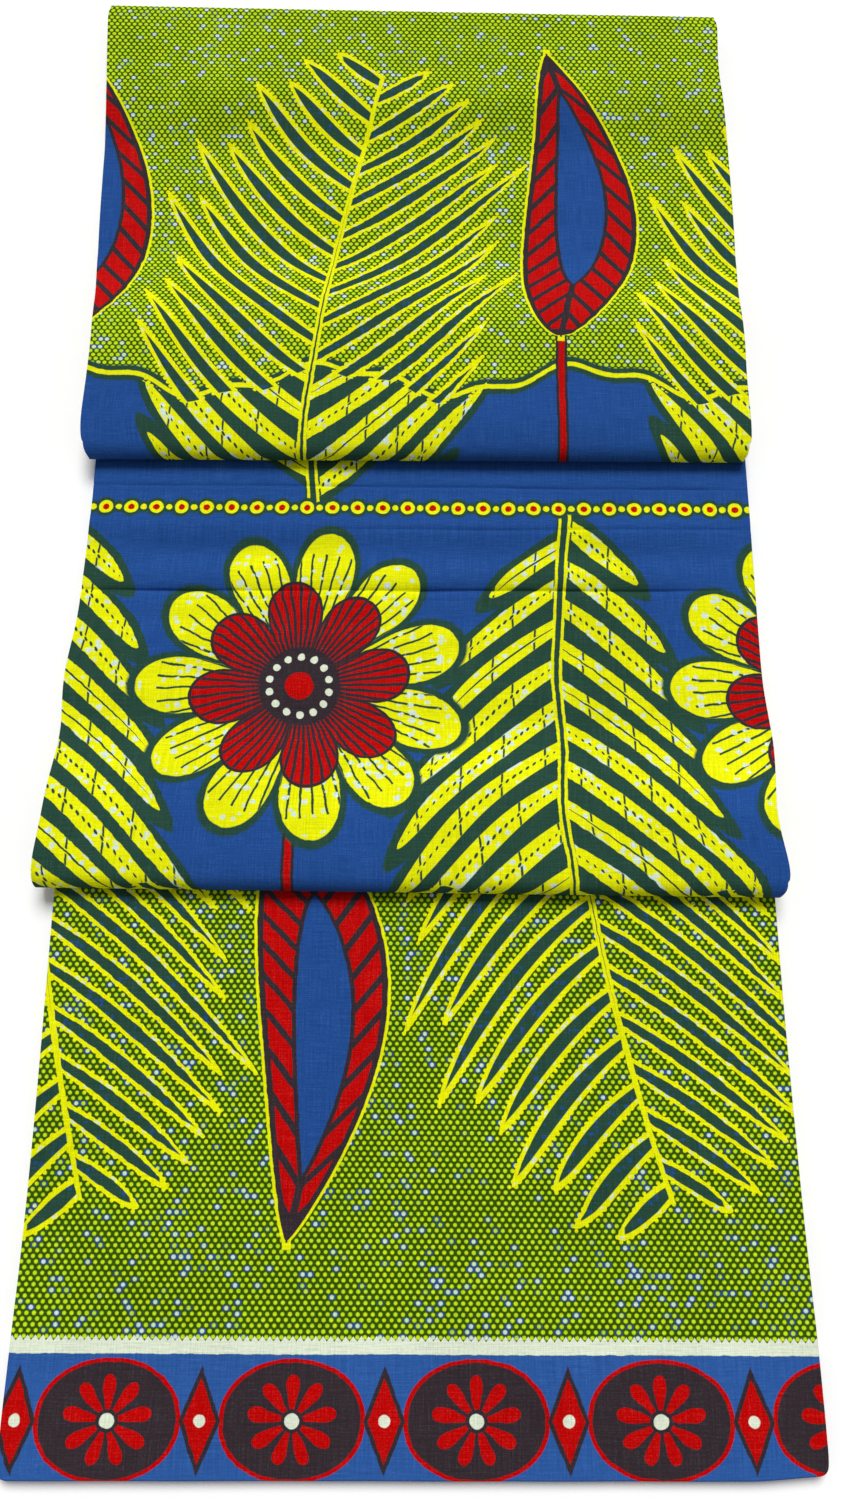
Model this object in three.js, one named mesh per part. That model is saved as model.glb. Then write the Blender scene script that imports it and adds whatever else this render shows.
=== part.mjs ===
// One six-yard length of wax print cotton. It is folded zigzag along its length into a pack of 14 plies,
// and the pack is laid in a cascade of three tiers: each tier's front is a roll that lies on the tier below.
// Millimetres, +Z up, +Y from the front selvage to the back edge. The underside rests at z = 0.
import * as THREE from "three";

// The pack: 14 plies of a 5.49 m length make it about 392 mm wide
const PLY_COUNT = 14;
const PLY_PITCH = 0.5;
const PACK = PLY_COUNT * PLY_PITCH;
const WALL = 1.2;
const GAP = 0.3;

// Where the pack turns: centres of its folds, measured from the front selvage
const ROLL_1 = 284.4;
const ROLL_2 = 535.0;
const OVERLAP_1 = 30;
const OVERLAP_2 = 70;
const BACK_TURN = 843.7;
const FOLD_UNDER = 53;
const TUCK = 6;

// Heights of the pack's mid-plane, worked out from how many packs lie below it
const MID_RADIUS = (PACK + GAP) / 2;
const FLOOR_LEVEL = PACK / 2;
const ONE_UP = FLOOR_LEVEL + 2 * MID_RADIUS;
const TWO_UP = ONE_UP + 2 * MID_RADIUS;

// The slopes behind the rolls, and the one up to the end that is folded under
const DROP_1 = { start: ROLL_1 + OVERLAP_1, length: 60 };
const DROP_2 = { start: ROLL_2 + OVERLAP_2 + 4, length: 66 };
const RISE = { start: BACK_TURN - FOLD_UNDER - 49, length: 44 };

// The layered edges below the two outer plies: each loop is two plies, and left, right and front say how
// far it stays behind them
const VALLEY_DEPTH = 1.3;
const LOOP_SHOULDER = 0.28;
const LOOP_WANDER = 0.35;
const WANDER_LENGTH = 160;
const LOOPS = [
  { left: 1.9, right: 1.2, front: 2.2 },
  { left: 0.8, right: 2.0, front: 0.9 },
  { left: 2.3, right: 0.9, front: 1.7 },
  { left: 1.1, right: 1.6, front: 0.7 },
  { left: 1.7, right: 0.7, front: 2.6 },
  { left: 0.8, right: 1.4, front: 1.2 },
];

// The tiers' side edges, from the front selvage to the back edge
const OUTLINE = [
  { tier: "lower", y: 0, left: -196.0, right: 199.0 },
  { tier: "lower", y: 50, left: -195.0, right: 198.0 },
  { tier: "lower", y: 106, left: -193.0, right: 196.0 },
  { tier: "lower", y: 163, left: -191.9, right: 194.5 },
  { tier: "lower", y: 222, left: -191.2, right: 193.5 },
  { tier: "lower", y: 315, left: -190.5, right: 193.0 },
  { tier: "middle", y: 277, left: -199.2, right: 196.6 },
  { tier: "middle", y: 293, left: -199.0, right: 196.4 },
  { tier: "middle", y: 315, left: -197.5, right: 194.6 },
  { tier: "middle", y: 361, left: -195.0, right: 195.3 },
  { tier: "middle", y: 408, left: -192.0, right: 195.0 },
  { tier: "middle", y: 456, left: -188.8, right: 195.0 },
  { tier: "middle", y: 505, left: -186.6, right: 195.0 },
  { tier: "middle", y: 606, left: -186.3, right: 195.0 },
  { tier: "upper", y: 527, left: -190.6, right: 195.3 },
  { tier: "upper", y: 547, left: -192.2, right: 195.5 },
  { tier: "upper", y: 575, left: -191.2, right: 195.0 },
  { tier: "upper", y: 601, left: -190.4, right: 195.4 },
  { tier: "upper", y: 630, left: -191.6, right: 195.3 },
  { tier: "upper", y: 666, left: -195.2, right: 198.2 },
  { tier: "upper", y: 748, left: -196.2, right: 198.8 },
  { tier: "upper", y: 779, left: -195.0, right: 196.2 },
  { tier: "upper", y: 809, left: -196.4, right: 194.6 },
  { tier: "upper", y: 851, left: -198.4, right: 196.4 },
];

// How far each turning edge is cut back at its two corners, and over what length along the tier.
// TOP_SHARE, below, is the share of it that is reached before the turn begins.
const CORNERS = {
  selvage: { left: 5, right: 5, reach: 6 },
  roll1: { left: 3.5, right: 9, reach: 12 },
  roll2: { left: 10, right: 5, reach: 17 },
  back: { left: 4, right: 7, reach: 9 },
};

// How much the turning edges run askew: millimetres along Y for each millimetre along X
const SKEW = [
  { y: 0, skew: 0.004 },
  { y: 200, skew: -0.007 },
  { y: 606, skew: -0.007 },
  { y: 843, skew: -0.024 },
];

// Creases pressed across the middle tier while the cloth was stored
const CREASES = [
  { y: 448.5, depth: 0.7, reach: 5 },
  { y: 515, depth: 0.5, reach: 7 },
];

const TOP_SHARE = 0.35;
const ARC_STEPS = 8;
const INNER_ARC_STEPS = 6;
const STEP_LENGTH = 0.6;

function rowsBetween(rows, y, key) {
  const after = rows.findIndex((row) => row.y >= y);
  if (after === 0) return rows[0][key];
  if (after < 0) return rows[rows.length - 1][key];
  const [low, high] = [rows[after - 1], rows[after]];
  return THREE.MathUtils.mapLinear(y, low.y, high.y, low[key], high[key]);
}

function ease(from, to, t) {
  return from + (to - from) * THREE.MathUtils.smoothstep(t, 0, 1);
}

// Height of the mid-plane along the tiers that come down from a roll
function middleHeight(y) {
  return ease(TWO_UP, FLOOR_LEVEL, (y - DROP_1.start) / DROP_1.length);
}

function upperHeight(y) {
  const drop = ease(TWO_UP, FLOOR_LEVEL, (y - DROP_2.start) / DROP_2.length);
  const rise = ease(FLOOR_LEVEL, ONE_UP, (y - RISE.start) / RISE.length);
  return drop + rise - FLOOR_LEVEL;
}

// A station is one place on the pack's mid-line: n points to the cloth's printed face, and corner runs
// from 0 along a tier to 1 at a turning edge.
function station(tier, y, z, ny, nz, edge = null, corner = 0) {
  return { tier, y, z, ny, nz, edge, corner };
}

function flatRun(tier, z, facing, ys) {
  return ys.map((y) => station(tier, y, z, 0, facing));
}

function risingRun(tier, height, ys) {
  return ys.map((y) => {
    const slope = height(y + 0.5) - height(y - 0.5);
    const length = Math.hypot(1, slope);
    return station(tier, y, height(y), -slope / length, 1 / length);
  });
}

// A half turn about (y, z), from one angle to another. face is 1 where the printed face is outside.
function turn(tier, y, z, from, to, steps, face, edge) {
  const stations = [];
  for (let i = 0; i <= steps; i += 1) {
    const angle = THREE.MathUtils.lerp(from, to, i / steps);
    const [c, s] = [Math.cos(angle), Math.sin(angle)];
    const [cy, cz] = [y + MID_RADIUS * c, z + MID_RADIUS * s];
    stations.push(station(tier, cy, cz, face * c, face * s, edge, Math.abs(c)));
  }
  return stations;
}

// Y positions evenly spaced from one place to another
function spread(from, to, count) {
  return Array.from({ length: count + 1 }, (_, i) => THREE.MathUtils.lerp(from, to, i / count));
}

function aroundCreases() {
  return CREASES.flatMap(({ y, reach }) => [y - reach, y - reach / 3, y, y + reach / 3, y + reach]);
}

const rear1 = ROLL_1 + OVERLAP_1;
const rear2 = ROLL_2 + OVERLAP_2;
const HALF = Math.PI / 2;
const CORNER_STOPS = [0, 0.12, 0.4, 1];

const stretches = {
  lower: flatRun("lower", FLOOR_LEVEL, 1, [
    ...CORNER_STOPS.map((stop) => stop * CORNERS.selvage.reach),
    ...spread(50, 222, 3),
    ...spread(260, ROLL_1 + TUCK, 1),
  ]),
  underRoll1: flatRun("lower", FLOOR_LEVEL, 1, [rear1 - 2]),
  rearFold1: turn("lower", rear1, FLOOR_LEVEL + MID_RADIUS, -HALF, HALF, INNER_ARC_STEPS, -1, null),
  return1: flatRun("lower", ONE_UP, -1, [rear1 - 2]),
  tuck1: flatRun("middle", ONE_UP, -1, [ROLL_1 + TUCK, ROLL_1 + 0.5]),
  roll1: turn("middle", ROLL_1, ONE_UP + MID_RADIUS, 3 * HALF, HALF, ARC_STEPS, 1, "roll1"),
  middle: risingRun("middle", middleHeight, [
    ...[0.45, 1].map((stop) => ROLL_1 + stop * CORNERS.roll1.reach),
    ...spread(DROP_1.start, DROP_1.start + DROP_1.length, 8),
    408,
    ...aroundCreases(),
    ROLL_2 + TUCK,
  ]),
  underRoll2: flatRun("middle", FLOOR_LEVEL, 1, [rear2 - 2]),
  rearFold2: turn("middle", rear2, FLOOR_LEVEL + MID_RADIUS, -HALF, HALF, INNER_ARC_STEPS, -1, null),
  return2: flatRun("middle", ONE_UP, -1, [rear2 - 2]),
  tuck2: flatRun("upper", ONE_UP, -1, [ROLL_2 + TUCK, ROLL_2 + 0.5]),
  roll2: turn("upper", ROLL_2, ONE_UP + MID_RADIUS, 3 * HALF, HALF, ARC_STEPS, 1, "roll2"),
  upper: risingRun("upper", upperHeight, [
    ...[0.35, 0.7, 1].map((stop) => ROLL_2 + stop * CORNERS.roll2.reach),
    ...spread(575, 601, 1),
    ...spread(DROP_2.start, DROP_2.start + DROP_2.length, 8),
    ...spread(RISE.start, RISE.start + RISE.length, 6),
    ...spread(809, BACK_TURN - CORNERS.back.reach, 1),
    BACK_TURN - CORNERS.back.reach / 2,
  ]),
  backTurn: turn("upper", BACK_TURN, FLOOR_LEVEL + MID_RADIUS, HALF, -HALF, ARC_STEPS, 1, "back"),
  tuckBack: flatRun("upper", FLOOR_LEVEL, -1, [BACK_TURN - TUCK]),
  foldUnder: flatRun("upper", FLOOR_LEVEL, -1, spread(BACK_TURN - 20, BACK_TURN - FOLD_UNDER, 2)),
};

// The outer plies show on these stretches; elsewhere they are part of the hidden layers.
const SHOWN = {
  lower_tier: ["lower"],
  middle_tier: ["tuck1", "roll1", "middle"],
  upper_tier: ["tuck2", "roll2", "upper", "backTurn", "tuckBack"],
};
const shownStretches = new Set(Object.values(SHOWN).flat());

// Where the printed face stands above the mid-plane, less at a crease
function faceHeight(at) {
  if (at.tier !== "middle" || at.nz < 0.9) return PACK / 2;
  const dips = CREASES.map(({ y, depth, reach }) => depth * Math.max(0, 1 - Math.abs(at.y - y) / reach));
  return PACK / 2 - Math.max(...dips);
}

// The turning edge whose corners shape a station on a tier, and how far away it is
function nearestEdge({ tier, y }) {
  if (tier === "lower") return { corner: CORNERS.selvage, distance: y, most: 1 };
  if (tier === "middle") return { corner: CORNERS.roll1, distance: y - ROLL_1, most: TOP_SHARE };
  if (y < RISE.start) return { corner: CORNERS.roll2, distance: y - ROLL_2, most: TOP_SHARE };
  return { corner: CORNERS.back, distance: BACK_TURN - y, most: TOP_SHARE };
}

// The share of a corner's cut-back at a station: a quarter circle over its reach along the tier, and the
// rest of it round the turn
function cornerShare(at) {
  if (at.edge) {
    return { corner: CORNERS[at.edge], share: TOP_SHARE + (1 - TOP_SHARE) * at.corner ** 3 };
  }
  const { corner, distance, most } = nearestEdge(at);
  const away = THREE.MathUtils.clamp(distance / corner.reach, 0, 1);
  return { corner, share: most * (1 - Math.sqrt(1 - (1 - away) ** 2)) };
}

// The side edge's x at a station, for side -1 (left) or 1 (right)
function edgeX(at, side) {
  const key = side < 0 ? "left" : "right";
  const rows = OUTLINE.filter((row) => row.tier === at.tier);
  const { corner, share } = cornerShare(at);
  return rowsBetween(rows, at.y, key) - side * corner[key] * share;
}

// A point at a station: n is its height above the mid-plane, inset its distance behind the side edge,
// and back its distance behind an end.
function pointAt(at, side, n, inset, back = 0) {
  const x = edgeX(at, side) - side * inset;
  const skew = rowsBetween(SKEW, at.y, "skew");
  return new THREE.Vector3(x, at.y + back + n * at.ny + skew * x, at.z + n * at.nz);
}

// The heights and insets of the side points of the hidden layers, from the bottom to the top. Each loop
// has a valley below it and two shoulders.
function loopLevels(side, at, travel, low, high) {
  const height = (high - low) / LOOPS.length;
  const levels = [];
  LOOPS.forEach((loop, i) => {
    const wander = LOOP_WANDER * Math.sin(travel / WANDER_LENGTH + (i + 1) * (side < 0 ? 1 : 3));
    const inset = (side < 0 ? loop.left : loop.right) + wander;
    const bottom = low + i * height;
    levels.push({ n: bottom, inset: inset + VALLEY_DEPTH, back: loop.front + VALLEY_DEPTH });
    levels.push({ n: bottom + LOOP_SHOULDER * height, inset, back: loop.front });
    levels.push({ n: bottom + (1 - LOOP_SHOULDER) * height, inset, back: loop.front });
  });
  const last = levels[levels.length - 1];
  levels.push({ n: high, inset: last.inset + VALLEY_DEPTH / 2, back: last.back + VALLEY_DEPTH / 2 });
  return levels;
}

// Joins rings of points into one closed body. A ring runs up the left side and down the right, and an end
// is closed with a strip from side to side at each height.
function loft(rings) {
  const count = rings[0].length;
  const positions = rings.flat().flatMap((point) => point.toArray());
  const index = [];
  for (let i = 0; i < rings.length - 1; i += 1) {
    for (let j = 0; j < count; j += 1) {
      const k = (j + 1) % count;
      const [a, b, c, d] = [i * count + j, i * count + k, (i + 1) * count + k, (i + 1) * count + j];
      index.push(a, b, c, a, c, d);
    }
  }
  const last = (rings.length - 1) * count;
  for (let j = 0; j < count / 2 - 1; j += 1) {
    const [a, b, c, d] = [j, j + 1, count - 2 - j, count - 1 - j];
    index.push(a, c, b, a, d, c);
    index.push(last + a, last + b, last + c, last + a, last + c, last + d);
  }
  const geometry = new THREE.BufferGeometry();
  geometry.setAttribute("position", new THREE.Float32BufferAttribute(positions, 3));
  geometry.setIndex(index);
  geometry.computeVertexNormals();
  return geometry;
}

// The visible outer plies of one tier: a wall with rounded side edges
function tierWall(name, material) {
  const stations = SHOWN[name].flatMap((key) => stretches[key]);
  const rings = stations.map((at) => {
    const top = faceHeight(at);
    const levels = [
      { n: top - WALL, inset: 0.5 },
      { n: top - WALL * 0.6, inset: 0 },
      { n: top - WALL * 0.25, inset: 0.1 },
      { n: top, inset: 0.6 },
    ];
    return [
      ...levels.map(({ n, inset }) => pointAt(at, -1, n, inset)),
      ...levels.toReversed().map(({ n, inset }) => pointAt(at, 1, n, inset)),
    ];
  });
  const mesh = new THREE.Mesh(loft(rings), material);
  mesh.name = name;
  return mesh;
}

// A station moved along its own run, used where the hidden layers step up to the full pack
function moved(at, towards, distance) {
  const [dy, dz] = [towards.y - at.y, towards.z - at.z];
  const length = Math.hypot(dy, dz);
  return { ...at, y: at.y + (dy / length) * distance, z: at.z + (dz / length) * distance };
}

// All the plies below the ones that show
function hiddenLayers(material) {
  const keys = Object.keys(stretches);
  const run = [];
  keys.forEach((key, k) => {
    const covered = shownStretches.has(key);
    const [before, after] = [stretches[keys[k - 1]], stretches[keys[k + 1]]];
    const stations = stretches[key];
    if (covered && before && !shownStretches.has(keys[k - 1])) {
      const first = stations[0];
      run.push({ at: moved(first, before[before.length - 1], GAP + STEP_LENGTH), full: true });
      run.push({ at: moved(first, before[before.length - 1], GAP), full: false });
    }
    stations.forEach((at) => run.push({ at, full: !covered }));
    if (covered && after && !shownStretches.has(keys[k + 1])) {
      const end = stations[stations.length - 1];
      run.push({ at: moved(end, after[0], GAP), full: false });
      run.push({ at: moved(end, after[0], GAP + STEP_LENGTH), full: true });
    }
  });
  const behindSelvage = ({ at }) => at.y === 0 || at.y >= CORNERS.selvage.reach;
  const unique = run.filter(behindSelvage).filter(({ at }, i, all) => i === 0
    || Math.hypot(at.y - all[i - 1].at.y, at.z - all[i - 1].at.z) > 0.05);
  let travel = 0;
  const rings = unique.map(({ at, full }, i) => {
    if (i > 0) travel += Math.hypot(at.y - unique[i - 1].at.y, at.z - unique[i - 1].at.z);
    const high = full ? PACK / 2 : faceHeight(at) - WALL - GAP;
    const isEnd = i === 0 || i === unique.length - 1;
    const place = (side) => (level) => pointAt(at, side, level.n, level.inset, isEnd ? level.back : 0);
    return [
      ...loopLevels(-1, at, travel, -PACK / 2, high).map(place(-1)),
      ...loopLevels(1, at, travel, -PACK / 2, high).toReversed().map(place(1)),
    ];
  });
  const mesh = new THREE.Mesh(loft(rings), material);
  mesh.name = "hidden_layers";
  return mesh;
}

const printedCotton = (color) => new THREE.MeshStandardMaterial({ color, roughness: 0.85, metalness: 0 });

const group = new THREE.Group();
group.add(tierWall("lower_tier", printedCotton(0x7c9a10)));
group.add(tierWall("middle_tier", printedCotton(0x2a549c)));
group.add(tierWall("upper_tier", printedCotton(0x8aa616)));
group.add(hiddenLayers(printedCotton(0x372c34)));

const box = new THREE.Box3().setFromObject(group);
const centre = box.getCenter(new THREE.Vector3());
group.position.set(-centre.x, -centre.y, -box.min.z);

export default group;
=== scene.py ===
"""A six-yard length of wax print cloth, folded to fourteen plies and laid in three tiers."""

import math
from collections import namedtuple

import bmesh
import bpy
import numpy as np
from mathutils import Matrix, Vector, noise


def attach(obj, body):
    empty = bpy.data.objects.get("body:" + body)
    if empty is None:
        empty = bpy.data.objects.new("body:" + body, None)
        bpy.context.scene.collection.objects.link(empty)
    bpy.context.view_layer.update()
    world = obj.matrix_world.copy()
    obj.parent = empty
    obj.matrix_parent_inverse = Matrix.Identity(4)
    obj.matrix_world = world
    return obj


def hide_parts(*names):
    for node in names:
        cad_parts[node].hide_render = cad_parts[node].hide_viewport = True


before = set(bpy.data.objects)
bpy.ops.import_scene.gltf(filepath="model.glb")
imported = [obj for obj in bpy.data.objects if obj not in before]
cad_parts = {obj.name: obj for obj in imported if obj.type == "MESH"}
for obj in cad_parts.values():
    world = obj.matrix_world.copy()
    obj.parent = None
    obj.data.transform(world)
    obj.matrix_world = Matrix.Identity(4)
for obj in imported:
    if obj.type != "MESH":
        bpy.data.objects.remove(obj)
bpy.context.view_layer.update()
scene = bpy.context.scene

# ---------------------------------------------------------------- camera and light
LONG_SIDE = 1500  # pixels of the 851 by 1500 picture
FOCAL_PIXELS = 1083
SENSOR_WIDTH = 36
CAMERA_PLACE = (0.0074, -0.2102, 0.585)
CAMERA_TILT = 13.5
SKY_STRENGTH = 0.32


def place_camera():
    data = bpy.data.cameras.new("camera")
    data.sensor_width = SENSOR_WIDTH
    data.lens = SENSOR_WIDTH * FOCAL_PIXELS / LONG_SIDE
    data.clip_start = 0.01
    camera = bpy.data.objects.new("camera", data)
    camera.location = CAMERA_PLACE
    camera.rotation_euler = (math.radians(CAMERA_TILT), 0, 0)
    scene.collection.objects.link(camera)
    scene.camera = camera


def soft_sun(name, tilt_back, tilt_side, spread, strength):
    """A broad, even light: the tilts turn it from straight overhead."""
    data = bpy.data.lights.new(name, "SUN")
    data.angle = math.radians(spread)
    data.energy = strength
    light = bpy.data.objects.new(name, data)
    light.location = (0, 0, 2)
    light.rotation_euler = (-math.radians(tilt_back), math.radians(tilt_side), 0)
    scene.collection.objects.link(light)


def light_the_studio():
    world = bpy.data.worlds.new("studio")
    world.use_nodes = True
    background = world.node_tree.nodes["Background"]
    background.inputs["Color"].default_value = (1, 1, 1, 1)
    background.inputs["Strength"].default_value = SKY_STRENGTH
    scene.world = world
    soft_sun("overhead", tilt_back=35, tilt_side=4, spread=28, strength=2.8)
    scene.view_settings.view_transform = "Standard"


place_camera()
light_the_studio()

# ---------------------------------------------------------------- the folded length, in millimetres
MM = 0.001
SHIFT = (-0.006, -427.37)  # from the front selvage to the middle of the whole length
PLIES = 14
PACK = 7.0
GAP = 0.3  # between packs that lie on each other
CLOTH = 0.3  # one ply's thickness
PLY_WIDTH = 392.0
OUTER_PLY = PACK / 2 - CLOTH / 2  # the outermost ply's mid-surface above the pack's mid-line
PLY_PITCH = 2 * OUTER_PLY / (PLIES - 1)

MID_RADIUS = (PACK + GAP) / 2  # of the pack's mid-line, where the pack turns
FLOOR_LEVEL = PACK / 2
ONE_UP = FLOOR_LEVEL + 2 * MID_RADIUS
TWO_UP = ONE_UP + 2 * MID_RADIUS
ROLL_1, ROLL_2, BACK_TURN = 284.4, 535.0, 843.7
REAR_1, REAR_2 = ROLL_1 + 30, ROLL_2 + 70  # the folds hidden under the rolls
FOLD_UNDER = BACK_TURN - 53

Slope = namedtuple("Slope", "start length")
DROP_1, DROP_2, RISE = Slope(REAR_1, 60), Slope(REAR_2 + 4, 66), Slope(FOLD_UNDER - 49, 44)

Edge = namedtuple("Edge", "y left right")
OUTLINE = {
    "lower": [
        Edge(0, -196.0, 199.0),
        Edge(50, -194.3, 198.0),
        Edge(106, -192.0, 196.0),
        Edge(163, -190.8, 194.5),
        Edge(222, -190.2, 193.5),
        Edge(315, -189.6, 193.0),
    ],
    "middle": [
        Edge(277, -199.2, 198.2),
        Edge(293, -198.0, 197.4),
        Edge(315, -195.4, 193.8),
        Edge(325, -194.7, 193.6),
        Edge(361, -193.4, 198.0),
        Edge(396, -194.0, 195.4),
        Edge(431, -189.5, 195.0),
        Edge(456, -187.9, 195.0),
        Edge(505, -186.0, 195.0),
        Edge(606, -185.8, 195.0),
    ],
    "upper": [
        Edge(527, -190.6, 195.3),
        Edge(547, -191.6, 195.5),
        Edge(575, -190.4, 195.0),
        Edge(601, -189.6, 195.4),
        Edge(630, -190.4, 195.3),
        Edge(666, -194.2, 198.2),
        Edge(748, -195.4, 198.8),
        Edge(779, -195.0, 196.2),
        Edge(809, -196.4, 194.6),
        Edge(851, -198.4, 196.4),
    ],
}

# How far the lines across the cloth turn away from square, by their place along it
Skew = namedtuple("Skew", "y slope")
SKEW = [
    Skew(0, -0.001),
    Skew(200, -0.010),
    Skew(290, -0.014),
    Skew(420, -0.008),
    Skew(606, -0.007),
    Skew(843, -0.024),
]

# How far each fold's corners are cut back, and how far along the cloth that is felt
Corner = namedtuple("Corner", "left right reach")
CORNERS = {
    "selvage": Corner(5, 3.6, 5),
    "roll1": Corner(1.0, 4.5, 6),
    "roll2": Corner(3.0, 3.5, 6),
    "back": Corner(4, 5, 9),
}
TOP_SHARE = 0.35
CORNER_WIDTH = 34  # how far in from the side a corner's cut-back is felt

# How much flatter than a full round each roll is pressed, over what length
Press = namedtuple("Press", "share length")
PRESSED = {"middle": Press(0.21, 14.0), "upper": Press(0.31, 20.0)}

# Creases left across the cloth by its packet: a soft or sharp trough (or a ridge, where depth is negative)
Crease = namedtuple("Crease", "tier y lean x_from x_to depth reach sharp")
CREASES = [
    Crease("middle", 449.6, 0.004, -210, 182, 1.8, 5.0, True),
    Crease("middle", 449.6, 0.004, -214, 190, 1.1, 1.7, True),
    Crease("middle", 513.5, -0.004, -205, 205, 1.0, 2.3, True),
    Crease("middle", 486.5, 0.003, -60, 215, 0.9, 2.8, True),
    Crease("middle", 443.0, 0.001, -150, 60, 0.4, 2.4, True),
    Crease("middle", 458.5, 0.003, -200, 170, -0.9, 8.0, False),
    Crease("middle", 471.5, -0.003, -190, 205, 1.9, 11.0, False),
    Crease("middle", 489.0, 0.004, -205, 195, -2.3, 13.0, False),
    Crease("middle", 509.0, 0.002, -205, 190, 0.9, 10.0, False),
    Crease("middle", 430.0, -0.006, -190, 120, 0.7, 10.0, False),
    Crease("middle", 411.0, 0.010, -120, 200, 0.7, 12.0, False),
    Crease("middle", 386.0, -0.008, -200, 110, -0.8, 14.0, False),
    Crease("middle", 324.0, 0.006, -200, 150, 0.8, 12.0, False),
    Crease("lower", 238.0, 0.008, -196, 70, 0.45, 15.0, False),
    Crease("lower", 205.0, -0.012, -20, 200, -0.3, 16.0, False),
    Crease("lower", 168.0, -0.010, -150, 150, 0.4, 17.0, False),
    Crease("lower", 96.0, 0.012, -200, 30, -0.35, 19.0, False),
    Crease("lower", 62.0, -0.006, -40, 200, 0.3, 14.0, False),
    Crease("upper", 588.0, 0.006, -190, 120, 0.45, 11.0, False),
    Crease("upper", 694.0, -0.009, -100, 200, 0.5, 14.0, False),
    Crease("upper", 722.0, 0.007, -200, 60, -0.4, 13.0, False),
    Crease("upper", 803.0, -0.012, -190, 150, 0.45, 12.0, False),
]
CREASE_WANDER = 1.1  # how far a crease strays from its line
CREASE_FADE = 45  # how far in from its ends it has its full depth

# How far each folded edge stands back from the outermost one: two plies to a row, from the bottom
Loop = namedtuple("Loop", "left right front")
LOOPS = [
    Loop(1.9, 1.2, 2.2),
    Loop(0.8, 2.0, 0.9),
    Loop(2.3, 0.9, 1.7),
    Loop(1.1, 1.6, 0.7),
    Loop(1.7, 0.7, 2.6),
    Loop(0.8, 1.4, 1.2),
    Loop(0.0, 0.0, 0.0),
]
TOP_LOOP = len(LOOPS) - 1
LOOP_WANDER = 0.35
WANDER_PER_MM = 2.1 / 160

# The front ply edges stand back, more so at their right end, and the cloth just behind them follows
FRONT_REACH = 15
FRONT_BACK = 0.7
RIGHT_END_FROM, RIGHT_END_LENGTH, RIGHT_END_BACK = 160, 42, 2.4
RIGHT_TIP_FROM, RIGHT_TIP_IN = 150, 1.2

# Where the cloth faces up this much it begins to take creases, and a little further it takes them fully
FACING_UP, FACING_FULLY_UP = 0.6, 0.9
RISE_AND_FALL = 0.6
ROOM_UNDER_CREASES = 0.3

# One place on the pack's mid-line: the normal (ny, nz) points to the printed face of the top ply
Station = namedtuple("Station", "tier y z ny nz edge corner", defaults=(None, 0.0))


def ease(low, high, t):
    t = min(max(t, 0.0), 1.0)
    return low + (high - low) * t * t * (3 - 2 * t)


def between(rows, y):
    """The value at y on a smooth line through (place, value) rows."""
    places = [row[0] for row in rows]
    values = [row[1] for row in rows]
    if y <= places[0]:
        return values[0]
    if y >= places[-1]:
        return values[-1]

    def slope(k):
        low, high = max(k - 1, 0), min(k + 1, len(rows) - 1)
        return (values[high] - values[low]) / (places[high] - places[low])

    i = max(k for k in range(len(rows) - 1) if places[k] <= y)
    step = places[i + 1] - places[i]
    t = (y - places[i]) / step
    return (
        values[i] * (1 + 2 * t) * (1 - t) ** 2
        + values[i + 1] * t * t * (3 - 2 * t)
        + step * (slope(i) * t * (1 - t) ** 2 - slope(i + 1) * t * t * (1 - t))
    )


def middle_height(y):
    return ease(TWO_UP, FLOOR_LEVEL, (y - DROP_1.start) / DROP_1.length)


def upper_height(y):
    drop = ease(TWO_UP, FLOOR_LEVEL, (y - DROP_2.start) / DROP_2.length)
    return drop + ease(0, ONE_UP - FLOOR_LEVEL, (y - RISE.start) / RISE.length)


def level(tier, z, facing, y_from, y_to, step):
    count = max(1, round(abs(y_to - y_from) / step))
    return [Station(tier, float(y), z, 0.0, float(facing)) for y in np.linspace(y_from, y_to, count + 1)]


def sloping(tier, height, ys):
    run = []
    for y in ys:
        slope = height(y + 0.5) - height(y - 0.5)
        length = math.hypot(1, slope)
        run.append(Station(tier, float(y), height(y), -slope / length, 1 / length))
    return run


def turn(tier, y, z, start, end, steps, facing, edge=None):
    run = []
    for angle in np.radians(np.linspace(start, end, steps + 1)):
        c, s = math.cos(angle), math.sin(angle)
        y_here, z_here = y + MID_RADIUS * c, z + MID_RADIUS * s
        run.append(Station(tier, y_here, z_here, facing * c, facing * s, edge, abs(c)))
    return run


def creased_places(tier, y_from, y_to, step):
    """Places along a tier, closer together where a sharp crease crosses it."""
    apart = 0.5 if step < 4 else 0.8
    places = set(np.round(np.linspace(y_from, y_to, round((y_to - y_from) / step) + 1), 3))
    for crease in CREASES:
        if crease.tier == tier and crease.sharp:
            reach = round((crease.reach + 1) / apart)
            places |= {round(crease.y + k * apart, 3) for k in range(-reach, reach + 1)}
    ordered = sorted(places)
    kept = [ordered[0]]
    for place in ordered[1:]:
        if place - kept[-1] > 0.3:
            kept.append(place)
    return kept


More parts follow.
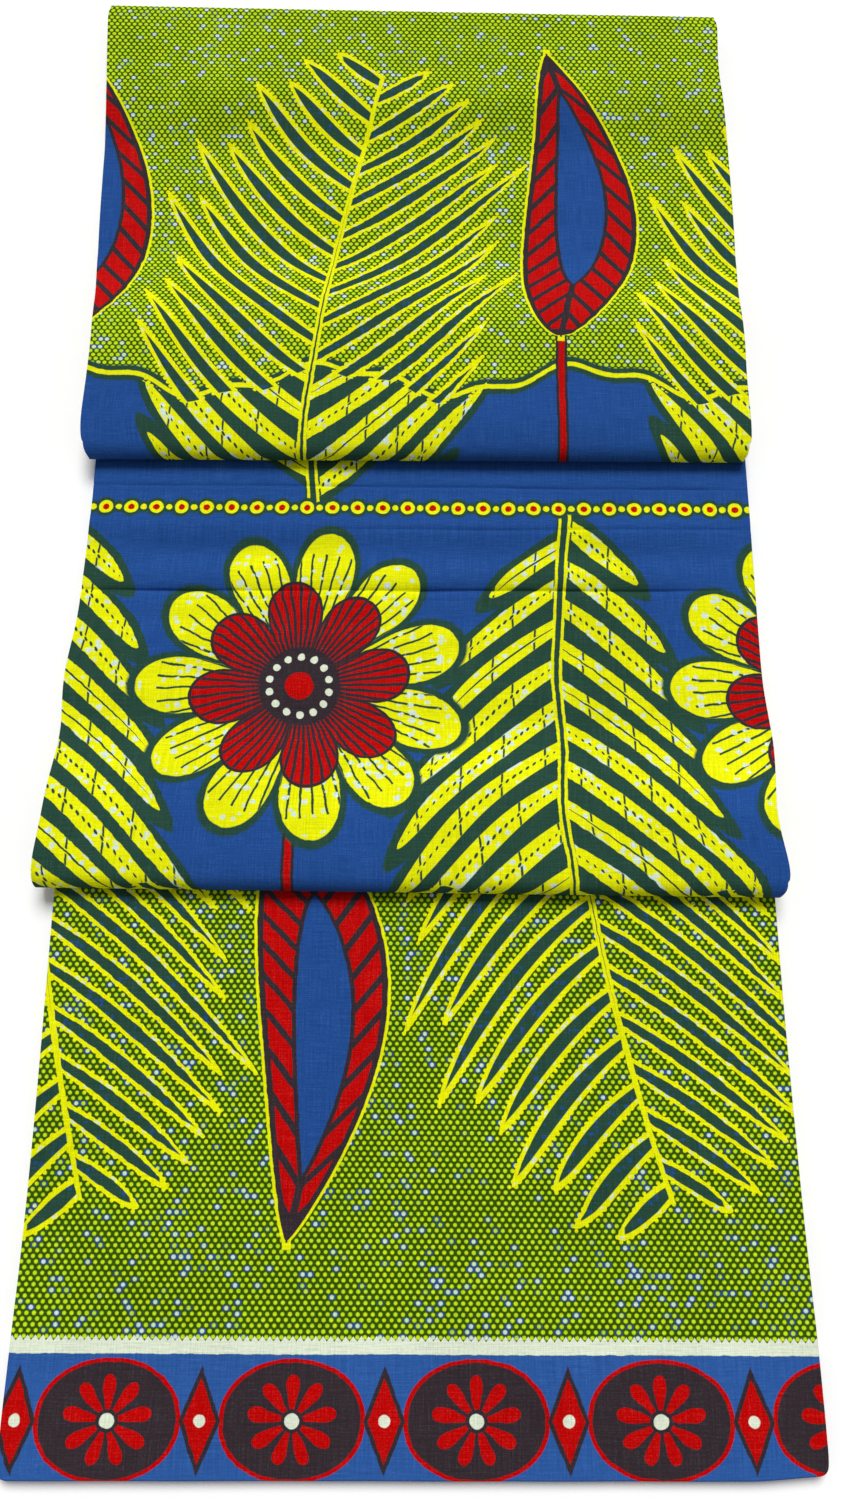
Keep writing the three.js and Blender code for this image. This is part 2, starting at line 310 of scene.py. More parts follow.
def folded_path(step, arc):
    """The stations of the three tiers' stretches, from the front selvage to the end folded under."""
    low, up = FLOOR_LEVEL + MID_RADIUS, ONE_UP + MID_RADIUS
    front = [0, 0.7, 1.6, 3, 5, 7.5, 10.5, 14]
    gap = 2.5  # degrees left open where two pieces meet inside a rear fold
    behind = 1.5  # the flat stretches start this far past a roll's centre
    on_floor = [*front, *creased_places("lower", 17, REAR_1, step)]
    down_from_1 = creased_places("middle", ROLL_1 + behind, REAR_2, step)
    down_from_2 = creased_places("upper", ROLL_2 + behind, BACK_TURN - behind, step)
    return {
        "lower": [
            *[Station("lower", y, FLOOR_LEVEL, 0.0, 1.0) for y in on_floor],
            *turn("lower", REAR_1, low, -90, -gap, arc // 2, -1)[1:],
        ],
        "middle": [
            *turn("lower", REAR_1, low, gap, 90, arc // 2, -1),
            *level("lower", ONE_UP, -1, REAR_1, ROLL_1, 5)[1:-1],
            *turn("middle", ROLL_1, up, 270, 90, arc, 1, "roll1"),
            *sloping("middle", middle_height, down_from_1),
            *turn("middle", REAR_2, low, -90, -gap, arc // 2, -1)[1:],
        ],
        "upper": [
            *turn("middle", REAR_2, low, gap, 90, arc // 2, -1),
            *level("middle", ONE_UP, -1, REAR_2, ROLL_2, 7)[1:-1],
            *turn("upper", ROLL_2, up, 270, 90, arc, 1, "roll2"),
            *sloping("upper", upper_height, down_from_2),
            *turn("upper", BACK_TURN, low, 90, -90, arc, 1, "back"),
            *level("upper", FLOOR_LEVEL, -1, BACK_TURN, FOLD_UNDER, 6)[1:],
        ],
    }


def printed_lengths(stations, start):
    """How far along the cloth each station's printed face is."""
    lengths, before = [], None
    for at in stations:
        point = (at.y + OUTER_PLY * at.ny, at.z + OUTER_PLY * at.nz)
        start += math.dist(point, before) if before else 0.0
        lengths.append(start)
        before = point
    return lengths


def crease_depth(tier, x, y):
    """How deep the tier's creases are at a place, all together."""
    total = 0.0
    for crease in CREASES:
        if crease.tier != tier:
            continue
        wander = CREASE_WANDER * noise.noise((x * 0.012, crease.y * 0.31, 2.7))
        away = abs(y - crease.y - crease.lean * x - wander) / crease.reach
        if away >= 1:
            continue
        faded = ease(0, 1, min(x - crease.x_from, crease.x_to - x) / CREASE_FADE)
        uneven = 0.8 + 0.45 * noise.noise((x * 0.021, crease.y * 0.17, 5.1))
        profile = (1 - away) ** 2 * (1.0 if crease.sharp else 1 + 2 * away)
        total += crease.depth * uneven * faded * profile
    return total


def rise_and_fall(x, y):
    """The soft unevenness of stored cloth."""
    broad = noise.noise((x * 0.011, y * 0.017, 0.4))
    small = noise.noise((x * 0.03, y * 0.055, 8.2))
    return 0.62 * broad + 0.24 * small


def corner_share(at):
    """The corner that a station belongs to, and how much of its cut-back is felt there."""
    if at.edge:
        return CORNERS[at.edge], TOP_SHARE + (1 - TOP_SHARE) * at.corner**3
    if at.tier == "lower":
        corner, distance, most = CORNERS["selvage"], at.y, 1.0
    elif at.tier == "middle":
        corner, distance, most = CORNERS["roll1"], at.y - ROLL_1, TOP_SHARE
    elif at.y < RISE.start:
        corner, distance, most = CORNERS["roll2"], at.y - ROLL_2, TOP_SHARE
    else:
        corner, distance, most = CORNERS["back"], BACK_TURN - at.y, TOP_SHARE
    away = min(max(distance / corner.reach, 0.0), 1.0)
    return corner, most * (1 - math.sqrt(1 - (1 - away) ** 2))


def side_edges(at):
    left = between([(row.y, row.left) for row in OUTLINE[at.tier]], at.y)
    right = between([(row.y, row.right) for row in OUTLINE[at.tier]], at.y)
    return left, right


# One place across the zigzag of plies: across runs from 0 at the right edge to 1 at the left, height is
# above the ply's own level, and out is how far a folded loop stands out
Across = namedtuple("Across", "ply across out height print_x")
RIGHT_EDGE, LEFT_EDGE = 0.0, 1.0

FINE_STEP = 4.0
NEAR_EDGE = (0.0, 0.8, 2.0, 4.0)
NEAR_EDGE_COARSE = (0.0, 1.4, 6.0, 22.0)
SEEN_LOOP, HIDDEN_LOOP, OPEN_LOOP = (60, 30, 0, -30, -60), (50, 0, -50), (90, 45, 0, -45)  # degrees


def ply_height(ply):
    return OUTER_PLY - ply * PLY_PITCH


def side_out(place):
    """How far to the right a place on a loop stands past its ply's edge."""
    return -place.out if place.across == LEFT_EDGE else place.out


def spots_across(step):
    """Distances from one edge of a ply to the other, closer together at the edges."""
    if step <= FINE_STEP:
        near = NEAR_EDGE
        inner = np.linspace(0, PLY_WIDTH, round(PLY_WIDTH / step) + 1)[2:-2]
    else:
        near = NEAR_EDGE_COARSE
        span = PLY_WIDTH - 2 * near[-1]
        inner = np.linspace(near[-1], PLY_WIDTH - near[-1], max(2, round(span / step)) + 1)[1:-1]
    return [*near, *inner, *(PLY_WIDTH - spot for spot in reversed(near))]


def folded_edge(ply, edge, degrees):
    """The places round the loop that joins two plies."""
    radius = PLY_PITCH / 2
    return [
        Across(ply, edge, radius * math.cos(angle), radius * math.sin(angle), None)
        for angle in map(math.radians, degrees)
    ]


def zigzag(first, last, top_step, hidden_step, open_loop=False):
    """The places across plies first to last (0 is the top one), following the cloth from edge to edge."""
    places = folded_edge(first - 0.5, RIGHT_EDGE, OPEN_LOOP) if open_loop else []
    for ply in range(first, last + 1):
        spots = spots_across(top_step if ply == 0 else hidden_step)
        leftward = ply % 2 == 0
        for spot in spots if leftward else reversed(spots):
            places.append(Across(ply, spot / PLY_WIDTH, 0.0, 0.0, None))
        if ply < last:
            degrees = SEEN_LOOP if ply == 0 else HIDDEN_LOOP
            places += folded_edge(ply + 0.5, LEFT_EDGE if leftward else RIGHT_EDGE, degrees)

    start = PLY_WIDTH / 2 - first * PLY_WIDTH
    printed, so_far, before = [], 0.0, None
    for place in places:
        spot = (side_out(place) - place.across * PLY_WIDTH, place.height - place.ply * PLY_PITCH)
        so_far += math.dist(spot, before) if before else 0.0
        before = spot
        printed.append(place._replace(print_x=start - so_far))
    return printed


def loop_inset(ply, side, travel):
    """How far a ply's edge stands back: plies 0 and 1 share a loop at the left, 1 and 2 one at the right."""
    row = TOP_LOOP - int((ply if side < 0 else ply + 1) // 2)
    if row == TOP_LOOP:
        return 0.0
    edge = LOOPS[max(row, 0)]
    wander = LOOP_WANDER * math.sin(travel * WANDER_PER_MM + (row + 1) * (1 if side < 0 else 3))
    return (edge.left if side < 0 else edge.right) + wander


def pressed(at, y, z):
    """The fold at a roll is pressed flatter than a full round, over a short way behind it."""
    if at.z < ONE_UP - 1 or at.tier == "lower":
        return z
    roll = ROLL_1 if at.tier == "middle" else ROLL_2
    press = PRESSED[at.tier]
    if y > roll + press.length:
        return z
    share = min(1.0, (roll + press.length - y) / (press.length + MID_RADIUS + PACK / 2))
    base = PACK + GAP
    return base + (z - base) * (1 - press.share * share**2)


def front_shift(x, ply):
    """How far back a ply's front edge lies."""
    row = LOOPS[max(0, TOP_LOOP - int(ply // 2))]
    ragged = row.front + 0.3 * noise.noise((x * 0.02, ply * 1.7, 1.0))
    return ragged + FRONT_BACK + RIGHT_END_BACK * ease(0, 1, (x - RIGHT_END_FROM) / RIGHT_END_LENGTH)


def settled(at, ply, x, n):
    """How far the cloth rises or sinks: the top plies take the creases, and the ones below less and less."""
    if at.nz <= FACING_UP:
        return 0.0
    on_top = min(1.0, 1.18 * (n + OUTER_PLY) / (2 * OUTER_PLY))
    up = min(1.0, (at.nz - FACING_UP) / (FACING_FULLY_UP - FACING_UP))
    dent = crease_depth(at.tier, x, at.y)
    settle = (rise_and_fall(x, at.y) * RISE_AND_FALL - dent) * on_top * up
    if ply > 1:
        settle -= ROOM_UNDER_CREASES * min(1.0, abs(dent) * 2) * on_top
    return settle


def cloth_point(at, place, travel):
    """Where a place on the cloth lies once it is folded and laid."""
    left, right = side_edges(at)
    x = right + (left - right) * place.across
    n = ply_height(place.ply) + place.height
    corner, share = corner_share(at)
    inset_left = loop_inset(place.ply, -1, travel) + corner.left * share
    inset_right = loop_inset(place.ply, 1, travel) + corner.right * share
    falloff_left = math.exp(-(((x - left) / CORNER_WIDTH) ** 2))
    falloff_right = math.exp(-(((x - right) / CORNER_WIDTH) ** 2))
    x += inset_left * falloff_left - inset_right * falloff_right + side_out(place)

    skew = between(SKEW, at.y) * x
    y = at.y + n * at.ny
    z = pressed(at, y, at.z + (n + settled(at, place.ply, x, n)) * at.nz)
    y += skew
    if at.tier == "lower" and at.nz > 0 and at.y < FRONT_REACH:
        near_front = 1 - at.y / FRONT_REACH
        y += front_shift(x, place.ply) * near_front
        if place.ply <= 1 and x > RIGHT_TIP_FROM:
            x -= RIGHT_TIP_IN * near_front**2 * falloff_right
    return x, y, z


SEEN_SPOT = Vector((0.15, -0.3, 0.007))  # on the lower tier's top ply, in metres


def lay_cloth(name, stations, start, places):
    """A sheet from a grid: one side follows the folded path and the other the zigzag of plies."""
    along, across = len(stations) - 1, len(places) - 1
    lengths = printed_lengths(stations, start)
    bm = bmesh.new()
    bmesh.ops.create_grid(bm, x_segments=across, y_segments=along, size=0.5)
    uv = bm.loops.layers.uv.new("cloth")
    spots = {}
    for vert in bm.verts:
        i, j = round((vert.co.x + 0.5) * across), round((vert.co.y + 0.5) * along)
        spots[vert.index] = (i, j)
        x, y, z = cloth_point(stations[j], places[i], lengths[j])
        vert.co = ((x + SHIFT[0]) * MM, (y + SHIFT[1]) * MM, z * MM)
    for face in bm.faces:
        face.smooth = True
        for corner in face.loops:
            i, j = spots[corner.vert.index]
            corner[uv].uv = (places[i].print_x * MM, lengths[j] * MM)
    seen = min(bm.faces, key=lambda face: (face.calc_center_median() - SEEN_SPOT).length)
    if seen.normal.z < 0:
        bmesh.ops.reverse_faces(bm, faces=bm.faces)
    mesh = bpy.data.meshes.new(name)
    bm.to_mesh(mesh)
    bm.free()
    piece = bpy.data.objects.new(name, mesh)
    scene.collection.objects.link(piece)
    wall = piece.modifiers.new("cloth_thickness", "SOLIDIFY")
    wall.thickness = CLOTH * MM
    wall.offset = 0
    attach(piece, "root")
    return piece, lengths[-1]


path = folded_path(step=2.6, arc=14)
coarse = folded_path(step=5.6, arc=10)
outer_places = zigzag(0, 1, top_step=3.3, hidden_step=30)
hidden_places = zigzag(2, PLIES - 1, top_step=120, hidden_step=120, open_loop=True)

pieces = {}
reached = 0.0
for tier in ("lower", "middle", "upper"):
    cloth, end = lay_cloth(f"{tier}_cloth", path[tier], reached, outer_places)
    pieces[tier] = cloth
    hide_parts(f"{tier}_tier")
    (end - reached) * MM
    reached = end

all_tiers = coarse["lower"] + coarse["middle"] + coarse["upper"]
hidden, end = lay_cloth("hidden_plies", all_tiers, 0.0, hidden_places)
pieces["hidden"] = hidden
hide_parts("hidden_layers")
end * MM

# ---------------------------------------------------------------- colours
DYE = 0.93  # the studio light brightens every colour by about this much


def srgb(red, green, blue):
    """Linear colour from the eight-bit values of a colour chart."""

    def channel(value):
        value /= 255
        return DYE * (value / 12.92 if value <= 0.04045 else ((value + 0.055) / 1.055) ** 2.4)

    return (channel(red), channel(green), channel(blue), 1.0)


BLUE = srgb(33, 77, 147)
BORDER_BLUE = srgb(45, 90, 161)
RED = srgb(191, 1, 1)
YELLOW = srgb(236, 240, 1)
MAROON = srgb(53, 43, 49)
DARK_GREEN = srgb(38, 73, 59)
CREAM = srgb(226, 235, 212)
# bare cloth, also mixed in faintly as the painted sheen of fibre glints
BARE_CLOTH_AND_GLINT = srgb(214, 232, 220)
LEAF_GREEN = srgb(50, 82, 4)
LIME = srgb(191, 229, 24)


# ---------------------------------------------------------------- patterns as sums
class Sum:
    """A value in a node group, written as arithmetic."""

    def __init__(self, tree, socket):
        self.tree, self.socket = tree, socket

    def maths(self, operation, *others, clamp=False):
        node = self.tree.nodes.new("ShaderNodeMath")
        node.operation = operation
        node.use_clamp = clamp
        for slot, value in zip(node.inputs, (self, *others)):
            connect(self.tree, value, slot)
        return Sum(self.tree, node.outputs[0])

    def __add__(self, other):
        return self.maths("ADD", other)

    def __sub__(self, other):
        return self.maths("SUBTRACT", other)

    def __mul__(self, other):
        return self.maths("MULTIPLY", other)

    def __truediv__(self, other):
        return self.maths("DIVIDE", other)

    def __pow__(self, other):
        return self.maths("POWER", other)

    def __neg__(self):
        return self * -1

    def __abs__(self):
        return self.maths("ABSOLUTE")

    def __rsub__(self, other):
        return -self + other

    __radd__, __rmul__ = __add__, __mul__

    def least(self, other):
        return self.maths("MINIMUM", other)

    def most(self, other):
        return self.maths("MAXIMUM", other)

    def root(self):
        return self.most(0).maths("SQRT")

    def sine(self):
        return self.maths("SINE")

    def floor(self):
        return self.maths("FLOOR")

    def fract(self):
        return self.maths("FRACT")

    def wrapped(self, span):
        """The distance from the nearest whole repeat."""
        return self.maths("WRAP", span / 2, -span / 2)

    def past(self, edge, soft=0.35):
        """1 where the value is past an edge, over a soft printed line."""
        return ((self - edge) * (1 / soft) + 0.5).maths("MAXIMUM", 0, clamp=True)


def connect(tree, value, slot):
    if isinstance(value, Sum):
        tree.links.new(value.socket, slot)
    else:
        slot.default_value = value


def pattern_group(name, inputs, outputs):
    """An empty group: its node tree, the values it is given, and a function that puts values out."""
    tree = bpy.data.node_groups.new(name, "ShaderNodeTree")
    kinds = {"value": "NodeSocketFloat", "colour": "NodeSocketColor", "place": "NodeSocketVector"}
    for label, kind, preset in inputs:
        socket = tree.interface.new_socket(label, in_out="INPUT", socket_type=kinds[kind])
        if preset is not None:
            socket.default_value = preset
    for label in outputs:
        kind = "colour" if label == "Colour" else "value"
        tree.interface.new_socket(label, in_out="OUTPUT", socket_type=kinds[kind])
    entry = tree.nodes.new("NodeGroupInput")
    exit_node = tree.nodes.new("NodeGroupOutput")

    def put_out(**values):
        for label, value in values.items():
            connect(tree, value, exit_node.inputs[label])

    return tree, {label: Sum(tree, entry.outputs[label]) for label, _, _ in inputs}, put_out


def use_group(tree, group, **values):
    node = tree.nodes.new("ShaderNodeGroup")
    node.node_tree = group
    for label, value in values.items():
        connect(tree, value, node.inputs[label.replace("_", " ").capitalize()])
    return {socket.name: Sum(tree, socket) for socket in node.outputs}


def split(tree, place):
    node = tree.nodes.new("ShaderNodeSeparateXYZ")
    connect(tree, place, node.inputs[0])
    return Sum(tree, node.outputs[0]), Sum(tree, node.outputs[1])


def join(tree, x, y, z=0.0):
    node = tree.nodes.new("ShaderNodeCombineXYZ")
    for slot, value in zip(node.inputs, (x, y, z)):
        connect(tree, value, slot)
    return Sum(tree, node.outputs[0])


def paint(tree, under, over, mask):
    """One colour printed over another."""
    node = tree.nodes.new("ShaderNodeMix")
    node.data_type = "RGBA"
    connect(tree, mask, node.inputs[0])
    connect(tree, under, node.inputs[6])
    connect(tree, over, node.inputs[7])
    return Sum(tree, node.outputs[2])


def chance(tree, x, y, seed):
    """A random number from 0 to 1 for a numbered place."""
    node = tree.nodes.new("ShaderNodeTexWhiteNoise")
    node.noise_dimensions = "3D"
    connect(tree, join(tree, x, y, seed), node.inputs["Vector"])
    return Sum(tree, node.outputs["Value"])


def cloudy(tree, x, y, seed, detail=2.0):
    """Smooth noise from 0 to 1."""
    node = tree.nodes.new("ShaderNodeTexNoise")
    node.inputs["Scale"].default_value = 1.0
    node.inputs["Detail"].default_value = detail
    connect(tree, join(tree, x, y, seed), node.inputs["Vector"])
    return Sum(tree, node.outputs["Fac"])


def nearest_cell(tree, x, y, seed):
    """Distance to the nearest scattered spot, and a random number for it."""
    node = tree.nodes.new("ShaderNodeTexVoronoi")
    node.voronoi_dimensions = "3D"
    node.inputs["Scale"].default_value = 1.0
    connect(tree, join(tree, x, y, seed), node.inputs["Vector"])
    number, _ = split(tree, Sum(tree, node.outputs["Color"]))
    return Sum(tree, node.outputs["Distance"]), number


# ---------------------------------------------------------------- the print, in millimetres on the cloth
CLOTH_WIDTH = 1170.0
REPEAT = 300.0  # one repeat along the length
HALF_DROP = 150.0
DOT_ACROSS, DOT_ROWS = 3.69, 2.55
HALF_TURN, FULL_TURN = math.pi, 2 * math.pi


def dot_ground_group():
    """Lime dots on leaf green, in offset rows, with a few dots of bare cloth."""
    tree, given, put_out = pattern_group(
        "dot_ground",
        [
            ("Place", "place", None),
            ("Across", "value", DOT_ACROSS),
            ("Rows", "value", DOT_ROWS),
            ("Size", "value", 0.74),
            ("Ground", "colour", LEAF_GREEN),
            ("Dots", "colour", LIME),
            ("Flecks", "colour", BARE_CLOTH_AND_GLINT),
            ("Stain", "colour", BLUE),
        ],
        ["Colour", "Dot"],
    )
    x, y = split(tree, given["Place"])
    row = (y / given["Rows"]).floor()
    offset = row.maths("MODULO", 2) * 0.5
    column = (x / given["Across"] + offset).floor()
    dx = ((x / given["Across"] + offset).fract() - 0.5) * given["Across"]
    dy = ((y / given["Rows"]).fract() - 0.5) * given["Rows"]
    patch = cloudy(tree, x * 0.03, y * 0.03, 3.0)
    luck = chance(tree, column, row, 1.0)
    size = given["Size"] + luck * 0.12 + patch * 0.2
    distance = (dx * dx * 0.85 + dy * dy * 0.95).root()
    dot = (size - distance).past(0.0, 0.5)
    # a bare dot with a blue stain round it, and here and there the stain alone
    bare = (luck + patch * 0.1).past(0.985, 0.02)
    stained = (chance(tree, column, row, 7.0) + patch * 0.1).past(1.02, 0.02)
    body = paint(tree, given["Ground"], given["Stain"], (bare + stained * 0.7).least(0.85))
    tone = paint(tree, given["Dots"], YELLOW, chance(tree, column, row, 4.0) * 0.3)
    face = paint(tree, tone, given["Flecks"], bare * (0.55 + chance(tree, column, row, 9.0) * 0.45))
    put_out(Colour=paint(tree, body, face, dot), Dot=dot)
    return tree


def bubbles_group():
    """Uneven white spots where the wax cracked away, in clusters."""
    tree, given, put_out = pattern_group(
        "wax_bubbles",
        [
            ("Place", "place", None),
            ("Spacing", "value", 6.0),
            ("Size", "value", 0.24),
            ("Share", "value", 0.5),
        ],
        ["Spots"],
    )
    x, y = split(tree, given["Place"])
    bent_x = x + cloudy(tree, x * 0.55, y * 0.55, 81.0) * 2.8
    bent_y = y + cloudy(tree, x * 0.55, y * 0.55, 83.0) * 2.8
    distance, number = nearest_cell(tree, bent_x / given["Spacing"], bent_y / given["Spacing"] * 1.25, 0.0)
    size = given["Size"] * (0.5 + number)
    cluster = cloudy(tree, x * 0.035, y * 0.035, 11.0)
    here = (number + cluster * 0.8).past(1.4 - given["Share"], 0.05)
    put_out(Spots=(size - distance).past(0.0, 0.09) * here)
    return tree


def palm_frond_group():
    """A frond with paired leaflets: how far inside a leaflet and the rib each place is."""
    tree, given, put_out = pattern_group(
        "palm_frond",
        [
            ("Place", "place", None),
            ("Foot x", "value", 0.0),
            ("Foot y", "value", 0.0),
            ("Length", "value", 460.0),
            ("Spread", "value", 108.0),
            ("Pitch", "value", 24.0),
            ("Leaflet", "value", 6.9),
            ("Bend", "value", 46.0),
        ],
        ["Leaf", "Rib", "Shade", "Along", "Across", "Out", "Luck"],
    )
    px, py = split(tree, given["Place"])
    x = (px - given["Foot x"]).wrapped(REPEAT)
    climb = given["Foot y"] - py
    share = (climb / given["Length"]).maths("MAXIMUM", 0, clamp=True)
    from_rib = x - given["Bend"] * share * share * 2 + given["Bend"] * share
    side = from_rib.maths("SIGN")
    out = abs(from_rib)
    # the leaflets sweep upwards as they leave the rib, the two sides by turns
    sweep = out * 0.62 + out * out * 0.0034
    start = climb - sweep + side * given["Pitch"] * 0.25
    number = (start / given["Pitch"]).floor()
    middle = (number + 0.5) * given["Pitch"]
    luck = chance(tree, number, side, 2.0)
    off_line = start - middle
    slant = out * 0.0068 + 0.62
    narrow = (slant * slant + 1).maths("INVERSE_SQRT")
    base = (middle / given["Length"]).most(0.0).least(1.0)
    reach = given["Spread"] * ((base * 0.95 + 0.045) * HALF_TURN).sine() ** 0.6 * (0.88 + luck * 0.2)
    along = (out / reach.most(1.0)).least(1.0)
    half = given["Leaflet"] * (1 - along**2.6).most(0.0) ** 0.62 * (0.62 + along * 0.5)
    inside = (given["Length"] - middle).least(middle)
    put_out(
        Leaf=(half - abs(off_line) * narrow).least((reach - out) * 0.6).least(inside),
        Rib=(3.4 - share * 2.4 - out).least(climb + 8).least(given["Length"] - climb - 4),
        Shade=(reach + 8 - out - off_line * off_line * 0.09).least(inside),
        Along=along,
        Across=abs(off_line),
        Out=out + luck * 23.0,
        Luck=luck,
    )
    return tree


def open_flower_group():
    """An open flower: yellow outer petals, red inner petals and a seeded centre."""
    tree, given, put_out = pattern_group(
        "open_flower",
        [
            ("Place", "place", None),
            ("Centre x", "value", 0.0),
            ("Centre y", "value", 0.0),
            ("Radius", "value", 95.0),
            ("Petals", "value", 11.0),
        ],
        ["Petal", "Inner", "Middle", "Vein", "Radial", "Seeds"],
    )
    px, py = split(tree, given["Place"])
    x = (px - given["Centre x"]).wrapped(REPEAT)
    y = py - given["Centre y"]
    radius, petals = given["Radius"], given["Petals"]
    r = (x * x + y * y).root().most(0.5)
    angle = y.maths("ARCTAN2", x)

    def petal(count, length, widest, start):
        spot = angle * count * (1 / FULL_TURN) + start
        away = abs(spot.fract() - 0.5) * 2  # 0 on a petal's line, 1 between petals
        width = r * HALF_TURN / count
        tip = ((r - length * widest) / (length * (1 - widest))).most(0.0)
        filled = 0.93  # of the width that each petal has to itself
        across = away * (1 / filled)
        return (1 - (tip * tip + across * across).root()) * (width * filled).least(length * (1 - widest))

    wobble = cloudy(tree, x * 0.05, y * 0.05, 5.0) * 0.5
    strand = (angle * petals * (6 / FULL_TURN) + wobble).fract() - 0.5
    seed_spot = (angle * (14 / FULL_TURN)).fract() - 0.5
    seed_distance = ((seed_spot * r * (FULL_TURN / 14)) ** 2 + (r - radius * 0.185) ** 2).root()
    put_out(
        Petal=petal(petals, radius, 0.56, 0.0),
        Inner=petal(petals - 3, radius * 0.66, 0.52, 0.31),
        Middle=radius * 0.25 - r,
        Vein=0.9 - abs(strand) * r * (FULL_TURN / 6) / petals,
        Radial=r,
        Seeds=2.1 - seed_distance,
    )
    return tree


def closed_bud_group():
    """A closed bud on a stem, in lapped scales."""
    tree, given, put_out = pattern_group(
        "closed_bud",
        [
            ("Place", "place", None),
            ("Foot x", "value", 0.0),
            ("Foot y", "value", 0.0),
            ("Length", "value", 212.0),
            ("Width", "value", 34.0),
            ("Bend", "value", 16.0),
        ],
        ["Bud", "Scale", "Core", "Stem"],
    )
    px, py = split(tree, given["Place"])
    x = (px - given["Foot x"]).wrapped(REPEAT)
    climb = given["Foot y"] - py
    share = (climb / given["Length"]).most(0.0).least(1.0)
    out = abs(x - given["Bend"] * (share * HALF_TURN).sine())
    half = given["Width"] * (share**0.72 * HALF_TURN).sine() ** 0.8
    bud = (half - out).least(climb * 0.6).least((given["Length"] - climb) * 0.5)
    scale_pitch = 17.0
    lap = ((climb + out * 1.1) / scale_pitch).fract() * scale_pitch
    inner_share = ((share - 0.2) / 0.66).most(0.0).least(1.0)
    core = given["Width"] * 0.44 * (inner_share**0.8 * HALF_TURN).sine() ** 0.85 - out - 0.4
    put_out(
        Bud=bud,
        Scale=lap.least(scale_pitch - lap),
        Core=core.least(bud - 3),
        Stem=(2.6 - out).least(climb + 110).least(12 - climb),
    )
    return tree


def selvage_border_group():
    """The selvage border: daisies in ovals and lozenges by turns on a blue band, under a toothed line."""
    tree, given, put_out = pattern_group(
        "selvage_border",
        [
            ("Place", "place", None),
            ("Pitch", "value", 88.0),
            ("Height", "value", 55.0),
            ("Centre", "value", 26.0),
        ],
        ["Band", "Line", "Oval", "Daisy", "Eye", "Lozenge", "Bead"],
    )
    x, y = split(tree, given["Place"])
    dx = ((x + 14.0) / given["Pitch"]).fract() * given["Pitch"] - given["Pitch"] * 0.5
    between_x = given["Pitch"] * 0.5 - abs(dx)
    dy = y - given["Centre"]
    oval = (abs(dx) / 33.5) ** 2.1 + (abs(dy) / 26.0) ** 2.1
    r = (dx * dx + dy * dy * 1.15).root().most(0.5)
    angle = dy.maths("ARCTAN2", dx)
    petals = 9
    spot = abs((angle * (petals / FULL_TURN) + 0.25).fract() - 0.5) * 2
    width = r * (HALF_TURN / petals)
    tip = ((r - 14) / 7.5).most(0.0).least(1.0)
    teeth = abs((x / DOT_ACROSS).fract() - 0.5) * 2
    put_out(
        Band=given["Height"] - y,
        Line=(given["Height"] + 5.6 + teeth * 2.4 - y).least(y - given["Height"]),
        Oval=(1 - oval) * 13.0,
        Daisy=(width * 0.62 * (1 - tip * tip).root() - spot * width).least(21.5 - r).least(r - 5.5),
        Eye=3.6 - r,
        Lozenge=(1 - between_x / 10.0 - abs(dy) / 24.0) * 9.0,
        Bead=2.8 - (between_x * between_x + dy * dy).root(),
    )
    return tree


def plain_weave_group():
    """A fine plain weave: thread height, and the threads' uneven tone."""
    tree, given, put_out = pattern_group(
        "plain_weave", [("Place", "place", None), ("Thread", "value", 0.42)], ["Height", "Tone"]
    )
    x, y = split(tree, given["Place"])
    warp = (x * HALF_TURN / given["Thread"]).sine()
    weft = (y * HALF_TURN / given["Thread"]).sine()
    over = (warp * weft).maths("SIGN") * 0.5 + 0.5
    long_slub = cloudy(tree, x * 1.9, y * 0.05, 21.0, 3.0)
    cross_slub = cloudy(tree, x * 0.07, y * 1.9, 31.0, 3.0)
    tone = long_slub + cross_slub - 1.0
    put_out(Height=abs(warp) * over + abs(weft) * (1 - over) + tone * 0.8, Tone=tone)
    return tree


class Print:
    """The cloth with its dotted ground and blue field, on which the motifs are printed one over another."""

    def __init__(self, tree, cloth, groups):
        self.tree, self.groups = tree, groups
        cloth_x, cloth_y = split(tree, cloth)
        self.x_true, self.y_true = cloth_x * 1000, cloth_y * 1000
        ragged = (cloudy(tree, self.x_true * 0.22, self.y_true * 0.22, 1.5) - 0.5) * 1.2
        # the far half repeats the near half, turned end for end and dropped half a repeat
        self.far = self.y_true.past(CLOTH_WIDTH / 2, 0.01)
        self.x = self.x_true - self.far * HALF_DROP + ragged
        self.y = self.y_true + self.far * (CLOTH_WIDTH - self.y_true * 2) + ragged
        self.place = join(tree, self.x, self.y)
        self.true_place = join(tree, self.x_true, self.y_true)

        wave = (self.x * (FULL_TURN / (REPEAT / 2)) + 0.6).sine() * 9.0
        ripple = (self.x * (FULL_TURN / (REPEAT / 6))).sine() * 3.0
        self.field = self.y - (352.0 + (wave + ripple))  # past 0 on the blue field
        self.on_blue = self.field.past(0.0, 0.5)
        ground = self.unwarped("dots", size=0.74 + self.far * 0.2)
        self.dots = ground["Dot"] * (1 - self.on_blue)
        self.colour = paint(tree, ground["Colour"], BLUE, self.on_blue)

    def motif(self, name, **values):
        """A group that follows the print's repeat and its ragged edges."""
        return use_group(self.tree, self.groups[name], place=self.place, **values)

    def unwarped(self, name, **values):
        """A group that follows the cloth itself."""
        return use_group(self.tree, self.groups[name], place=self.true_place, **values)

    def add(self, over, mask):
        self.colour = paint(self.tree, self.colour, over, mask)


def print_field_edge(cloth):
    """A yellow line with a dark halo along the blue field's wavy edge."""
    off_line = abs(cloth.field + 4.0)
    cloth.add(DARK_GREEN, (5.0 - off_line).past(0.0, 1.2))
    cloth.add(YELLOW, (1.5 - off_line).past(0.0, 0.5))


